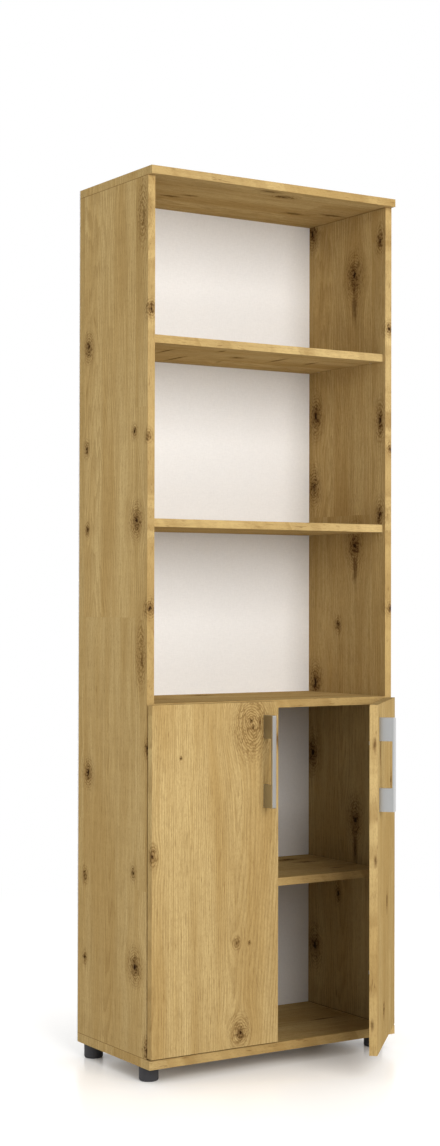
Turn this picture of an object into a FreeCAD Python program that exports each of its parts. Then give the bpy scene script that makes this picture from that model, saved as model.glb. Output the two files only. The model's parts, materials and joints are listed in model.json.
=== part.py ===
"""A tall bookcase: three open bays over a cabinet with two hinged doors, on four round feet.

Millimetres, +Z up, the front towards -Y and the left of the picture towards -X.
The origin is on the floor, under the middle of the space that the bookcase takes up
with its right door standing ajar.
"""
import FreeCAD
import Part
import Sketcher
import os
import re

# Every driving size, in millimetres and degrees. Names read from the large to the small.
SIZES = (
    # Carcass boards and the bays between them
    ("width", 600),
    ("side_depth", 279),
    ("front_set", 27),
    ("board", 16),
    ("base_board", 18),
    ("back_board", 3),
    ("overhang", 13.5),
    ("cabinet_low_bay", 312),
    ("cabinet_high_bay", 349),
    ("lower_bay", 347.5),
    ("middle_bay", 346.5),
    ("upper_bay", 312),
    ("shelf_setback", 9),
    ("cabinet_shelf_setback", 11.5),
    ("shelf_play", 0.5),
    # Doors
    ("door_board", 16),
    ("door_gap", 3),
    ("door_reveal", 1),
    ("door_meeting", 4),
    ("door_foot_gap", 3),
    ("door_head_gap", 2),
    ("right_open_angle", 45.7),
    # Handles
    ("handle_length", 186),
    ("handle_reach", 32),
    ("handle_width", 9),
    ("handle_leg", 46.5),
    ("handle_grip", 6),
    ("handle_round", 2),
    ("handle_inset", 31.5),
    ("handle_drop", 26.5),
    ("handle_screw_radius", 2),
    ("handle_screw_bite", 11),
    # Feet
    ("foot_height", 30),
    ("foot_radius", 19.5),
    ("foot_round", 4),
    ("foot_well_radius", 6.5),
    ("foot_well_depth", 14),
    ("foot_side_inset", 24),
    ("foot_front_inset", 30),
    ("foot_back_inset", 25),
    ("foot_screw_radius", 2.25),
    ("foot_screw_bite", 13),
    # Hinges: one pivot in the cup, 95 degree swing
    ("hinge_inset", 100),
    ("pivot_inset", 7.3),
    ("pivot_depth", 10.2),
    ("pivot_radius", 1.25),
    ("pivot_play", 0.05),
    ("pivot_length", 18),
    ("knuckle_radius", 2.4),
    ("strip", 2),
    ("arm_width", 8),
    ("arm_length", 48),
    ("arm_screw_radius", 2),
    ("arm_screw_setback", 42),
    ("cup_radius", 17.5),
    ("cup_wall", 0.8),
    ("cup_depth", 13.7),
    ("cup_edge", 3),
    ("cup_play", 0.1),
    ("flange_board", 1.2),
    ("flange_width", 14),
    ("flange_length", 62),
    ("flange_corner", 4),
    ("flange_offset", 9.5),
    ("flange_pitch", 48),
    ("flange_screw_radius", 1.6),
    ("flange_screw_bite", 11),
    ("plate_board", 4),
    ("plate_setback", 30),
    ("plate_length", 36),
    ("plate_stem", 14),
    ("plate_wing", 16),
    ("plate_span", 48),
    ("plate_pitch", 32),
    ("plate_screw_radius", 2.5),
    ("plate_screw_bite", 11),
    # Fixings hidden in the boards
    ("dowel_radius", 4),
    ("dowel_length", 30),
    ("dowel_in_face", 10),
    ("dowel_inset", 45),
    ("shelf_pin_radius", 2.5),
    ("shelf_pin_length", 17),
    ("shelf_pin_in_side", 9),
    ("shelf_pin_inset", 40),
    ("nail_radius", 0.8),
    ("nail_length", 20),
    ("nail_head_radius", 2),
    ("nail_head", 0.6),
    ("nail_margin", 70),
)
NAMES = [name for name, size in SIZES]
NAIL_ROWS = 5
HEAD_TO_SHANK_SHARE = 1.75
HEAD_HEIGHT_SHARE = 0.6
# Small fixings that repeat are many-sided, as fluted dowels and rolled pins are
FIXING_SIDES = 8
WELL_SIDES = 12

doc = FreeCAD.newDocument("Bookcase")
sheet = doc.addObject("Spreadsheet::Sheet", "Sizes")
for row, (name, size) in enumerate(SIZES, start=1):
    sheet.set("A%d" % row, name)
    sheet.set("B%d" % row, str(size))
    sheet.setAlias("B%d" % row, name)
doc.recompute()

# Levels and planes, worked out from the driving sizes
base_top = "(foot_height + base_board)"
cabinet_shelf_low = f"({base_top} + cabinet_low_bay)"
middle_low = f"({cabinet_shelf_low} + board + cabinet_high_bay)"
middle_top = f"({middle_low} + board)"
lower_shelf_low = f"({middle_top} + lower_bay)"
upper_shelf_low = f"({lower_shelf_low} + board + middle_bay)"
top_low = f"({upper_shelf_low} + board + upper_bay)"
loose_shelves = {
    "upper_shelf": (upper_shelf_low, "shelf_setback"),
    "lower_shelf": (lower_shelf_low, "shelf_setback"),
    "cabinet_shelf": (cabinet_shelf_low, "cabinet_shelf_setback"),
}
carcass_back = "(side_depth - front_set)"
inside_half = "(width / 2 - board)"
door_low = f"({base_top} + door_foot_gap)"
door_high = f"({middle_top} - door_head_gap)"
door_width = "(width / 2 - door_reveal - door_meeting / 2)"
door_back = "(-front_set - door_gap)"
door_front = f"({door_back} - door_board)"
handle_middle = f"({door_high} - handle_drop - handle_length / 2)"
handle_across = "(door_meeting / 2 + handle_inset)"
pivot_across = "(width / 2 - door_reveal - pivot_inset)"
pivot_along = f"({door_back} - pivot_depth)"
dowel_rows = (
    "(dowel_inset - front_set)",
    "(side_depth / 2 - front_set)",
    "(side_depth - dowel_inset - front_set)",
)
hinge_levels = (f"({door_low} + hinge_inset)", f"({door_high} - hinge_inset)")
SIDES = (("left", -1), ("right", 1))
ALONG_X = FreeCAD.Rotation(FreeCAD.Vector(0, 1, 0), 90)
ALONG_Y = FreeCAD.Rotation(FreeCAD.Vector(1, 0, 0), -90)
FORWARD = FreeCAD.Rotation(FreeCAD.Vector(1, 0, 0), 90)
UPSIDE_DOWN = FreeCAD.Rotation(FreeCAD.Vector(1, 0, 0), 180)
ABOUT = FreeCAD.Rotation(FreeCAD.Vector(0, 1, 0), 180)
UPRIGHT = FreeCAD.Rotation()

pieces = {}


def sized(text):
    """The formula with each size written as a cell of the sheet."""
    return re.sub("[a-z][a-z_]*", lambda found: cell_of(found.group()), str(text))


def cell_of(word):
    """A size's cell, or the word itself where it is a function."""
    return "Sizes." + word if word in NAMES else word


def bind(item, prop, formula):
    """Tie a property of a document object to a formula on the sheet."""
    item.setExpression(prop, sized(formula))


def value(formula):
    """What a formula on the sheet comes to now."""
    return float(sheet.evalExpression(sized(formula)))


def put(item, place, turn=UPRIGHT):
    """Give a document object its place, as three formulas, and its turn."""
    item.Placement = FreeCAD.Placement(FreeCAD.Vector(), turn)
    for axis, formula in zip("xyz", place):
        bind(item, "Placement.Base." + axis, formula)
    return item


def block(label, low, size):
    """A rectangular board from its low corner and its size along X, Y and Z."""
    item = doc.addObject("Part::Box", label)
    for prop, formula in zip(("Length", "Width", "Height"), size):
        bind(item, prop, formula)
    return put(item, low)


def rod(label, radius, length, place, turn=UPRIGHT):
    """A plain cylinder that starts at a place."""
    item = doc.addObject("Part::Cylinder", label)
    bind(item, "Radius", radius)
    bind(item, "Height", length)
    return put(item, place, turn)


def prism(label, sides, radius, length, place, turn=UPRIGHT):
    """A many-sided rod that starts at a place."""
    item = doc.addObject("Part::Prism", label)
    item.Polygon = sides
    bind(item, "Circumradius", radius)
    bind(item, "Height", length)
    return put(item, place, turn)


def outline(body, role, points):
    """A closed sketch on one of a body's own planes, each corner tied to two formulas."""
    sketch = body.newObject("Sketcher::SketchObject", body.Name + "Outline")
    plane = [item for item in body.Origin.OriginFeatures if item.Role == role][0]
    sketch.AttachmentSupport = [(plane, "")]
    sketch.MapMode = "FlatFace"
    corners = [FreeCAD.Vector(value(across), value(along), 0) for across, along in points]
    count = len(corners)
    for index, corner in enumerate(corners):
        sketch.addGeometry(Part.LineSegment(corner, corners[(index + 1) % count]), False)
    for index in range(count):
        sketch.addConstraint(Sketcher.Constraint("Coincident", index, 2, (index + 1) % count, 1))
    for index, (corner, point) in enumerate(zip(corners, points)):
        for kind, size, formula in zip(("DistanceX", "DistanceY"), (corner.x, corner.y), point):
            number = sketch.addConstraint(Sketcher.Constraint(kind, -1, 1, index, 1, size))
            bind(sketch, "Constraints[%d]" % number, formula)
    return sketch


def turned(label, points):
    """A body turned about Z from a half section of radius and height formulas."""
    body = doc.addObject("PartDesign::Body", label)
    sketch = outline(body, "XZ_Plane", points)
    turn = body.newObject("PartDesign::Revolution", label + "Turn")
    turn.Profile = sketch
    turn.ReferenceAxis = (sketch, ["V_Axis"])
    turn.Angle = 360
    sketch.Visibility = False
    return body


def padded(label, role, points, depth):
    """A body padded both ways from an outline on one of its planes."""
    body = doc.addObject("PartDesign::Body", label)
    sketch = outline(body, role, points)
    pad = body.newObject("PartDesign::Pad", label + "Pad")
    pad.Profile = sketch
    pad.Midplane = True
    bind(pad, "Length", depth)
    sketch.Visibility = False
    doc.recompute()
    return body


def group(label, members):
    """Several solids kept together under one label."""
    item = doc.addObject("Part::Compound", label)
    item.Links = members
    return item


def copy(label, source, place, turn=UPRIGHT):
    """A copy of a piece at a place of its own."""
    return put(group(label, [source]), place, turn)


def cut(label, base, tools):
    """A piece with the shapes of others taken out of it."""
    item = doc.addObject("Part::Cut", label)
    item.Base = base
    item.Tool = group(label + "Tools", tools)
    return item


def fuse(label, members):
    """Several shapes joined into one."""
    item = doc.addObject("Part::MultiFuse", label)
    item.Shapes = members
    return item


def headed(label, shank, length, head, rise):
    """A nail or screw along Z: its head stands on z = 0 and its shank runs down."""
    return fuse(label, [
        prism(label + "_shank", FIXING_SIDES, shank, length, (0, 0, f"-{length}")),
        prism(label + "_head", FIXING_SIDES, head, rise, (0, 0, 0)),
    ])


def screw(label, shank, bite, through):
    """A wood screw that runs through one thickness and bites into the next."""
    head = f"{shank} * {HEAD_TO_SHANK_SHARE}"
    return headed(label, shank, f"({bite} + {through})", head, f"{shank} * {HEAD_HEIGHT_SHARE}")


def swing(label, piece):
    """A piece of the right door, turned with it about the hinge pivots."""
    item = group(label, [piece])
    angle = "right_open_angle"
    item.Placement = FreeCAD.Placement(FreeCAD.Vector(), FreeCAD.Rotation(FreeCAD.Vector(0, 0, 1), 1))
    bind(item, "Placement.Rotation.Angle", angle)
    bind(item, "Placement.Base.x", f"{pivot_across} * (1 - cos({angle})) + {pivot_along} * sin({angle})")
    bind(item, "Placement.Base.y", f"{pivot_along} * (1 - cos({angle})) - {pivot_across} * sin({angle})")
    return item


def make_dowels():
    """Wooden dowels in the ends of the side boards and of the middle shelf."""
    dowel = prism("dowel", FIXING_SIDES, "dowel_radius", "dowel_length", (0, 0, 0))
    sets = {
        "bottom_dowels": (f"{base_top} - dowel_in_face", UPRIGHT, "(width / 2 - board / 2)"),
        "top_dowels": (f"{top_low} + dowel_in_face - dowel_length", UPRIGHT, "(width / 2 - board / 2)"),
        "middle_dowels": (f"{middle_low} + board / 2", ALONG_X, f"({inside_half} + dowel_in_face)"),
    }
    for label, (level, turn, across) in sets.items():
        members = []
        for side, sign in SIDES:
            start = f"{sign} * {across}"
            if turn is ALONG_X and sign > 0:
                start = f"{across} - dowel_length"
            for number, along in enumerate(dowel_rows):
                members.append(copy(f"{label}_{side}_{number}", dowel, (start, along, level), turn))
        pieces[label] = group(label, members)


def make_shelf_pins():
    """Round metal pins in the sides, four to each loose shelf, flush with its underside."""
    pin = prism("shelf_pin", FIXING_SIDES, "shelf_pin_radius", "shelf_pin_length", (0, 0, 0))
    for shelf, (low, setback) in loose_shelves.items():
        label = shelf + "_pins"
        members = []
        for side, sign in SIDES:
            start = f"-{inside_half} - shelf_pin_in_side"
            if sign > 0:
                start = f"{inside_half} + shelf_pin_in_side - shelf_pin_length"
            for number, along in enumerate(pin_rows(setback)):
                place = (start, along, f"{low} + shelf_pin_radius")
                members.append(copy(f"{label}_{side}_{number}", pin, place, ALONG_X))
        pieces[label] = group(label, members)


def pin_rows(setback):
    """How far forward and back the pins of a loose shelf stand."""
    return (f"{setback} + shelf_pin_inset - front_set", f"{carcass_back} - shelf_pin_inset")


def make_loose_shelf(label, low, setback):
    """A shelf that drops over its pins, with a groove in its underside for each of them."""
    corner = (f"shelf_play - {inside_half}", f"{setback} - front_set", low)
    size = (f"2 * ({inside_half} - shelf_play)", f"side_depth - {setback} - shelf_play", "board")
    reach = "(shelf_pin_length - shelf_pin_in_side)"
    grooves = []
    for side, sign in SIDES:
        start = f"-{inside_half}"
        if sign > 0:
            start = f"{inside_half} - {reach}"
        for number, along in enumerate(pin_rows(setback)):
            place = (start, f"{along} - shelf_pin_radius", low)
            groove = (reach, "2 * shelf_pin_radius", "shelf_pin_radius")
            grooves.append(block(f"{label}_{side}_groove_{number}", place, groove))
    blank = block(label + "_blank", corner, size)
    pieces[label] = cut(label, blank, [pieces[label + "_pins"], *grooves])


def make_back_nails():
    """Flat-headed nails that hold the thin back to the edges of the boards."""
    nail = headed("nail", "nail_radius", "nail_length", "nail_head_radius", "nail_head")
    rear = f"{carcass_back} + back_board - nail_head"
    members = []
    for side, sign in SIDES:
        edge = f"{sign} * (width - board) / 2"
        for number in range(NAIL_ROWS):
            span = f"({top_low} - {base_top} - 2 * nail_margin)"
            level = f"{base_top} + nail_margin + {span} * {number} / {NAIL_ROWS - 1}"
            members.append(copy(f"nail_{side}_{number}", nail, (edge, rear, level), ALONG_Y))
    levels = {
        "base": "foot_height + base_board / 2",
        "middle": f"{middle_low} + board / 2",
        "top": f"{top_low} + board / 2",
    }
    for row, level in levels.items():
        members.append(copy(f"nail_{row}", nail, (0, rear, level), ALONG_Y))
    pieces["back_nails"] = group("back_nails", members)


def make_feet():
    """Moulded round feet, each with a well for the screw that holds it to the base."""
    shape = turned("foot", (
        (0, 0), ("foot_radius - foot_round", 0),
        ("foot_radius", "foot_round"), ("foot_radius", "foot_height"),
        (0, "foot_height"),
    ))
    well = prism("foot_well", WELL_SIDES, "foot_well_radius", "foot_well_depth", (0, 0, 0))
    shape = cut("foot_shape", shape, [well])
    fixing = screw("foot_screw", "foot_screw_radius", "foot_screw_bite", "(foot_height - foot_well_depth)")
    rows = {
        "front": "foot_front_inset - front_set",
        "rear": f"{carcass_back} - foot_back_inset",
    }
    screws = []
    for row, along in rows.items():
        feet = []
        for side, sign in SIDES:
            across = f"{sign} * (width / 2 - foot_side_inset)"
            label = f"{row}_{side}_foot"
            held = copy(label + "_screw", fixing, (across, along, "foot_well_depth"), UPSIDE_DOWN)
            feet.append(cut(label, copy(label + "_blank", shape, (across, along, 0)), [held]))
            screws.append(held)
        pieces[f"{row}_feet"] = group(f"{row}_feet", feet)
    pieces["foot_screws"] = group("foot_screws", screws)


def make_handles():
    """C-shaped pulls with square legs and a slim grip, each held by two screws through its door."""
    half = "handle_length / 2"
    inner = "(handle_grip - handle_reach)"
    shape = padded("handle", "YZ_Plane", (
        (0, half), ("-handle_reach", half), ("-handle_reach", f"-{half}"), (0, f"-{half}"),
        (0, f"handle_leg - {half}"), (inner, f"handle_leg - {half}"),
        (inner, f"{half} - handle_leg"), (0, f"{half} - handle_leg"),
    ), "handle_width")
    pad = shape.Tip
    outer = value("-handle_reach")
    corners = []
    for number, edge in enumerate(pad.Shape.Edges, start=1):
        ends = [vertex.Point for vertex in edge.Vertexes]
        across = abs(ends[0].x - ends[1].x) > value("handle_round")
        if across and abs(ends[0].y - outer) < value("handle_round"):
            corners.append("Edge%d" % number)
    fillet = shape.newObject("PartDesign::Fillet", "handleRound")
    fillet.Base = (pad, corners)
    bind(fillet, "Radius", "handle_round")
    fixing = screw("handle_screw", "handle_screw_radius", "handle_screw_bite", "door_board")
    for side, sign in SIDES:
        across = f"{sign} * {handle_across}"
        screws = []
        for number, end in enumerate((-1, 1)):
            level = f"{handle_middle} + {end} * (handle_length - handle_leg) / 2"
            screws.append(copy(f"{side}_handle_screw_{number}", fixing, (across, door_back, level), ALONG_Y))
        shut_screws = group(f"{side}_handle_screws_shut", screws)
        shut = copy(f"{side}_handle_uncut", shape, (across, door_front, handle_middle))
        drilled = cut(f"{side}_handle_shut", shut, [shut_screws])
        pieces[f"{side}_handle"] = drilled
        pieces[f"{side}_handle_screws"] = shut_screws


def make_hinge_masters():
    """The pieces of one left hinge, about its pivot: X to the cabinet's middle, Y to the back."""
    face = "(board - door_reveal - pivot_inset)"
    near = f"({face} + plate_board)"
    far = f"({near} + strip)"
    edge = "(door_gap + pivot_depth)"
    cup_across = "(cup_edge + cup_radius - pivot_inset)"
    plate_along = f"({edge} + plate_setback)"

    pin = rod("hinge_pin", "pivot_radius", "pivot_length", (0, 0, "-pivot_length / 2"))

    strip = padded("arm_strip", "XY_Plane", (
        (0, "-strip / 2"), (f"{far} - strip", "-strip / 2"), (far, "strip / 2"),
        (far, f"{edge} + arm_length"), (near, f"{edge} + arm_length"), (near, "strip / 2"),
        (0, "strip / 2"),
    ), "arm_width")
    knuckle = rod("arm_knuckle", "knuckle_radius", "arm_width", (0, 0, "-arm_width / 2"))
    bore = rod("arm_bore", "pivot_radius + pivot_play", "pivot_length", (0, 0, "-pivot_length / 2"))
    arm_screw_place = (far, f"{edge} + arm_screw_setback", 0)
    arm_screw = copy("arm_screw", screw("arm_bolt", "arm_screw_radius", "plate_board", "strip"),
                     arm_screw_place, ALONG_X)
    arm = cut("hinge_arm", fuse("arm_blank", [strip, knuckle]), [bore, arm_screw])

    half_wing = "plate_wing / 2"
    half_stem = "plate_stem / 2"
    half_span = "plate_span / 2"
    half_length = "plate_length / 2"
    cross = padded("plate_cross", "YZ_Plane", (
        (f"-{half_length}", f"-{half_stem}"), (f"-{half_wing}", f"-{half_stem}"),
        (f"-{half_wing}", f"-{half_span}"), (half_wing, f"-{half_span}"),
        (half_wing, f"-{half_stem}"), (half_length, f"-{half_stem}"), (half_length, half_stem),
        (half_wing, half_stem), (half_wing, half_span), (f"-{half_wing}", half_span),
        (f"-{half_wing}", half_stem), (f"-{half_length}", half_stem),
    ), "plate_board")
    put(cross, (f"{face} + plate_board / 2", plate_along, 0))
    plate_bolt = screw("plate_bolt", "plate_screw_radius", "plate_screw_bite", "plate_board")
    plate_screws = group("plate_screws", [
        copy(f"plate_screw_{number}", plate_bolt, (near, plate_along, f"{end} * plate_pitch / 2"), ALONG_X)
        for number, end in enumerate((-1, 1))
    ])
    plate = cut("hinge_plate", cross, [plate_screws, arm_screw])

    shell = copy("cup_shell", turned("cup_turned", (
        (0, "-cup_depth"), ("cup_radius", "-cup_depth"),
        ("cup_radius", 0), ("cup_radius - cup_wall", 0),
        ("cup_radius - cup_wall", "cup_wall - cup_depth"), (0, "cup_wall - cup_depth"),
    )), (cup_across, "pivot_depth", 0), ALONG_Y)
    wide = "flange_width / 2"
    tall = "flange_length / 2"
    flange = padded("cup_flange", "XZ_Plane", (
        (f"flange_corner - {wide}", f"-{tall}"), (f"{wide} - flange_corner", f"-{tall}"),
        (wide, f"flange_corner - {tall}"), (wide, f"{tall} - flange_corner"),
        (f"{wide} - flange_corner", tall), (f"flange_corner - {wide}", tall),
        (f"-{wide}", f"{tall} - flange_corner"), (f"-{wide}", f"flange_corner - {tall}"),
    ), "flange_board")
    put(flange, (f"{cup_across} + flange_offset", "pivot_depth + flange_board / 2", 0))
    mouth = rod("cup_mouth", "cup_radius - cup_wall", "flange_board",
                (cup_across, "pivot_depth", 0), ALONG_Y)
    flange_bolt = screw("flange_bolt", "flange_screw_radius", "flange_screw_bite", "flange_board")
    cup_screws = group("cup_screws", [
        copy(f"cup_screw_{number}", flange_bolt,
             (f"{cup_across} + flange_offset", "pivot_depth + flange_board", f"{end} * flange_pitch / 2"),
             ALONG_Y)
        for number, end in enumerate((-1, 1))
    ])
    cup = cut("hinge_cup", fuse("cup_blank", [shell, cut("cup_ring", flange, [mouth])]), [pin, cup_screws])
    door_bore = rod("cup_bore", "cup_radius + cup_play", "cup_depth + cup_play",
                    (cup_across, "pivot_depth", 0), FORWARD)
    return {
        "hinge_pins": pin,
        "hinge_arms": arm,
        "hinge_plates": plate,
        "hinge_cups": cup,
        "cup_screws": cup_screws,
        "plate_screws": plate_screws,
        "arm_screws": arm_screw,
        "cup_bores": door_bore,
    }


def make_hinges():
    """Two concealed hinges a door, each set of like pieces under one label."""
    tools = {}
    for label, master in make_hinge_masters().items():
        for side, sign in SIDES:
            turn = UPRIGHT if sign < 0 else ABOUT
            members = []
            for number, level in enumerate(hinge_levels):
                place = (f"{sign} * {pivot_across}", pivot_along, level)
                members.append(copy(f"{side}_{label}_{number}", master, place, turn))
            tools[f"{side}_{label}"] = group(f"{side}_{label}_shut", members)
    for label, item in tools.items():
        if "cup_bores" not in label:
            pieces[label] = item
    return tools


def make_boards(tools):
    """The chipboard carcass: sides, base, top, shelves and the thin back."""
    nails = pieces["back_nails"]
    pins = [pieces[label] for label in ("upper_shelf_pins", "lower_shelf_pins", "cabinet_shelf_pins")]
    dowels = [pieces[label] for label in ("bottom_dowels", "middle_dowels", "top_dowels")]
    side_size = ("board", "side_depth", f"{top_low} - {base_top}")
    for side, low in (("left", "-width / 2"), ("right", inside_half)):
        blank = block(side + "_side_blank", (low, "-front_set", base_top), side_size)
        holes = dowels + pins + [nails, tools[side + "_plate_screws"]]
        pieces[side + "_side"] = cut(side + "_side", blank, holes)

    deep = "side_depth + overhang"
    front = "-front_set - overhang"
    base = block("bottom_blank", ("-width / 2", front, "foot_height"), ("width", deep, "base_board"))
    pieces["bottom_panel"] = cut("bottom_panel", base, [dowels[0], nails, pieces["foot_screws"]])
    top = block("top_blank", ("-width / 2", front, top_low), ("width", deep, "board"))
    pieces["top_panel"] = cut("top_panel", top, [dowels[2], nails])

    middle = block("middle_blank", (f"-{inside_half}", "-front_set", middle_low),
                   (f"2 * {inside_half}", "side_depth", "board"))
    pieces["middle_shelf"] = cut("middle_shelf", middle, [dowels[1], nails])
    for label, (low, setback) in loose_shelves.items():
        make_loose_shelf(label, low, setback)

    back = block("back_blank", ("-width / 2", carcass_back, "foot_height"),
                 ("width", "back_board", f"{top_low} + board - foot_height"))
    pieces["back_panel"] = cut("back_panel", back, [nails])


def make_doors(tools):
    """Two overlay doors, bored for their hinge cups and drilled for their handles."""
    size = (door_width, "door_board", f"{door_high} - {door_low}")
    for side, low in (("left", "door_reveal - width / 2"), ("right", "door_meeting / 2")):
        blank = block(side + "_door_blank", (low, door_front, door_low), size)
        holes = [tools[side + "_cup_bores"], tools[side + "_cup_screws"], pieces[side + "_handle_screws"]]
        pieces[side + "_door"] = cut(side + "_door_shut", blank, holes)


def open_right_door():
    """Turn the right door, with all that it carries, to where it stands ajar."""
    for label in ("door", "handle", "handle_screws", "hinge_cups", "hinge_pins", "cup_screws"):
        pieces["right_" + label] = swing("right_" + label, pieces["right_" + label])


def export():
    """Check every object, then write each piece to a file of its own name."""
    doc.recompute()
    for item in doc.Objects:
        if "Invalid" in item.State or "Error" in item.State:
            raise RuntimeError(f"{item.Label} failed: {item.State}")
    os.makedirs("parts", exist_ok=True)
    for label, item in pieces.items():
        solids = item.Shape.Solids
        if not solids or not item.Shape.isValid():
            raise RuntimeError(f"{label} has no sound solid")
        shape = solids[0] if len(solids) == 1 else Part.makeCompound(solids)
        shape.exportStep(f"parts/{label}.step")
    print(len(pieces), "pieces")


make_dowels()
make_shelf_pins()
make_back_nails()
make_feet()
make_handles()
hinge_tools = make_hinges()
make_boards(hinge_tools)
make_doors(hinge_tools)
open_right_door()
export()
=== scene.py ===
"""A tall bookcase in knotty oak foil, with two cabinet doors, bow handles and round feet.

Metres, +Z up, the front towards -Y. The boards, doors, handles and hinges come from the frame
and get their finishes here. The feet, screws, nails and shelf pins are modelled here over the
plain solids of the frame.
"""
import json
import math

import bmesh
import bpy
from bpy.props import FloatProperty, FloatVectorProperty, PointerProperty
from mathutils import Matrix, Vector


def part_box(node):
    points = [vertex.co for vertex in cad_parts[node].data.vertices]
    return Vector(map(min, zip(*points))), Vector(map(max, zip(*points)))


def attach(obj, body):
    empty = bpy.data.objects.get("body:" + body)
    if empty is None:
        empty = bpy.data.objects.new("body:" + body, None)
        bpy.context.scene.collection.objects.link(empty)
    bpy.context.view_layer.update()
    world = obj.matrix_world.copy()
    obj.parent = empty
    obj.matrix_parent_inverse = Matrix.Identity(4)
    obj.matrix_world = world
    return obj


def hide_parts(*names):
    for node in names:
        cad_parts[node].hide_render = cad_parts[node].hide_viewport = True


bl_info = {
    "name": "Oak bookcase",
    "version": (1, 0, 0),
    "blender": (4, 5, 0),
    "location": "View3D > Sidebar > Bookcase",
    "description": "Finishes, small fixings and a studio for a tall oak bookcase with doors",
    "category": "Object",
}

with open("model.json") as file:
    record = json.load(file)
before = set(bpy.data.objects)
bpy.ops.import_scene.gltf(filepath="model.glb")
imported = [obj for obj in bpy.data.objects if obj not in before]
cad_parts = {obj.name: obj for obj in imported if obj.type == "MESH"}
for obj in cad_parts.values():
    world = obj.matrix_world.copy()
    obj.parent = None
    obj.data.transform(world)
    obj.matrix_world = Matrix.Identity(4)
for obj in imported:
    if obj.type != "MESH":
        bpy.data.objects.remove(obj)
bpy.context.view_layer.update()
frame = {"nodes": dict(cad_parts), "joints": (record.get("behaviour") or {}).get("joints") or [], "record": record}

DOOR_AJAR = math.radians(45.7)
RIGHT_PIVOT = Vector(frame["joints"][1]["pos_m"])

# Knots and streaks in the foil: across the grain, along it, half width, length to width, and how
# deep it lies where it shows on one face alone. Long or flat ones are streaks.
LEFT_SIDE_KNOTS = (
    (0.213, 1.463, 0.010, 1.3), (0.015, 1.100, 0.013, 1.2), (0.221, 1.255, 0.006, 1.4),
    (0.217, 1.088, 0.005, 1.4), (0.024, 1.278, 0.005, 1.4), (0.210, 0.588, 0.010, 1.3),
    (0.223, 0.377, 0.006, 1.4), (0.025, 0.405, 0.005, 1.4), (0.222, 0.209, 0.005, 1.4),
    (0.017, 0.222, 0.013, 1.2), (-0.010, 1.700, 0.004, 6.0), (-0.008, 0.826, 0.004, 5.0),
    (-0.027, 1.516, 0.007, 1.3, -0.292),
    (-0.027, 1.265, 0.005, 1.3, -0.299), (-0.027, 0.928, 0.007, 1.3, -0.293),
    (-0.027, 0.654, 0.005, 1.8, -0.300),
    (-0.026, 0.066, 0.006, 2.0, -0.297),
)
RIGHT_SIDE_KNOTS = (
    (0.240, 1.762, 0.012, 1.3), (0.083, 1.646, 0.015, 1.5), (0.082, 1.585, 0.010, 4.2),
    (0.226, 1.353, 0.012, 1.8), (0.233, 1.197, 0.012, 1.6), (0.080, 1.062, 0.014, 1.5),
    (0.080, 1.010, 0.009, 3.8), (0.142, 0.890, 0.006, 1.4), (-0.009, 1.326, 0.008, 2.4),
    (-0.009, 1.126, 0.008, 2.0), (0.226, 0.762, 0.012, 1.6), (-0.008, 1.712, 0.007, 2.0),
    (0.235, 0.605, 0.013, 1.6), (0.078, 0.470, 0.013, 1.7), (0.078, 0.405, 0.010, 4.2),
    (0.226, 0.177, 0.013, 1.6), (0.140, 0.304, 0.006, 1.8),
    (-0.027, 1.521, 0.006, 1.3, 0.294), (-0.027, 1.266, 0.005, 1.3, 0.297),
    (-0.027, 0.928, 0.006, 1.3, 0.297),
)
LEFT_DOOR_KNOTS = (
    (-0.068, 0.702, 0.0035, 1.2), (-0.063, 0.690, 0.003, 1.6), (-0.047, 0.697, 0.003, 4.0),
    (-0.003, 0.661, 0.005, 4.0), (-0.094, 0.079, 0.008, 1.3), (-0.102, 0.260, 0.0045, 1.3),
    (-0.298, 0.445, 0.006, 1.8, -0.046), (-0.233, 0.634, 0.0016, 1.6), (-0.072, 0.258, 0.002, 1.4),
)
RIGHT_DOOR_KNOTS = (
    (0.046, 0.640, 0.008, 3.0), (0.160, 0.330, 0.007, 1.4), (0.230, 0.570, 0.006, 1.5),
    (0.110, 0.120, 0.006, 1.5), (0.002, 0.662, 0.004, 3.0, -0.040), (0.002, 0.432, 0.004, 3.0, -0.042),
    (0.002, 0.110, 0.004, 3.0, -0.036),
)
# On the boards that lie flat the grain runs along x, and each board starts further along the foil
BOARD_SHIFT = 0.61
TOP_LEVEL = 1.7785
UPPER_LEVEL = 1.451
CABINET_LEVEL = 0.3765
SHELF_KNOTS = (
    *((y, x + TOP_LEVEL * BOARD_SHIFT, half, long, TOP_LEVEL) for x, y, half, long in (
        (-0.155, 0.127, 0.008, 3.2), (-0.125, 0.101, 0.007, 3.1), (-0.007, -0.020, 0.009, 3.6),
        (0.047, 0.007, 0.007, 2.0), (0.160, 0.137, 0.010, 3.1), (0.244, 0.110, 0.009, 4.0),
    )),
    *((y, x + UPPER_LEVEL * BOARD_SHIFT, half, long, UPPER_LEVEL) for x, y, half, long in (
        (-0.193, 0.085, 0.040, 0.13), (-0.113, 0.174, 0.050, 0.12), (-0.094, 0.030, 0.020, 0.30),
        (-0.006, 0.176, 0.012, 0.39), (-0.012, 0.097, 0.006, 1.5), (0.085, 0.087, 0.045, 0.13),
        (0.176, 0.093, 0.030, 0.20),
    )),
    *((y, x + CABINET_LEVEL * BOARD_SHIFT, half, long, CABINET_LEVEL) for x, y, half, long in (
        (0.207, 0.153, 0.006, 2.2), (0.215, 0.048, 0.005, 4.0),
    )),
    (0.040, 0.600, 0.006, 4.0), (0.200, 0.420, 0.007, 2.4), (0.090, 0.240, 0.005, 7.0),
    (0.150, 0.050, 0.006, 2.4),
)
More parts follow.
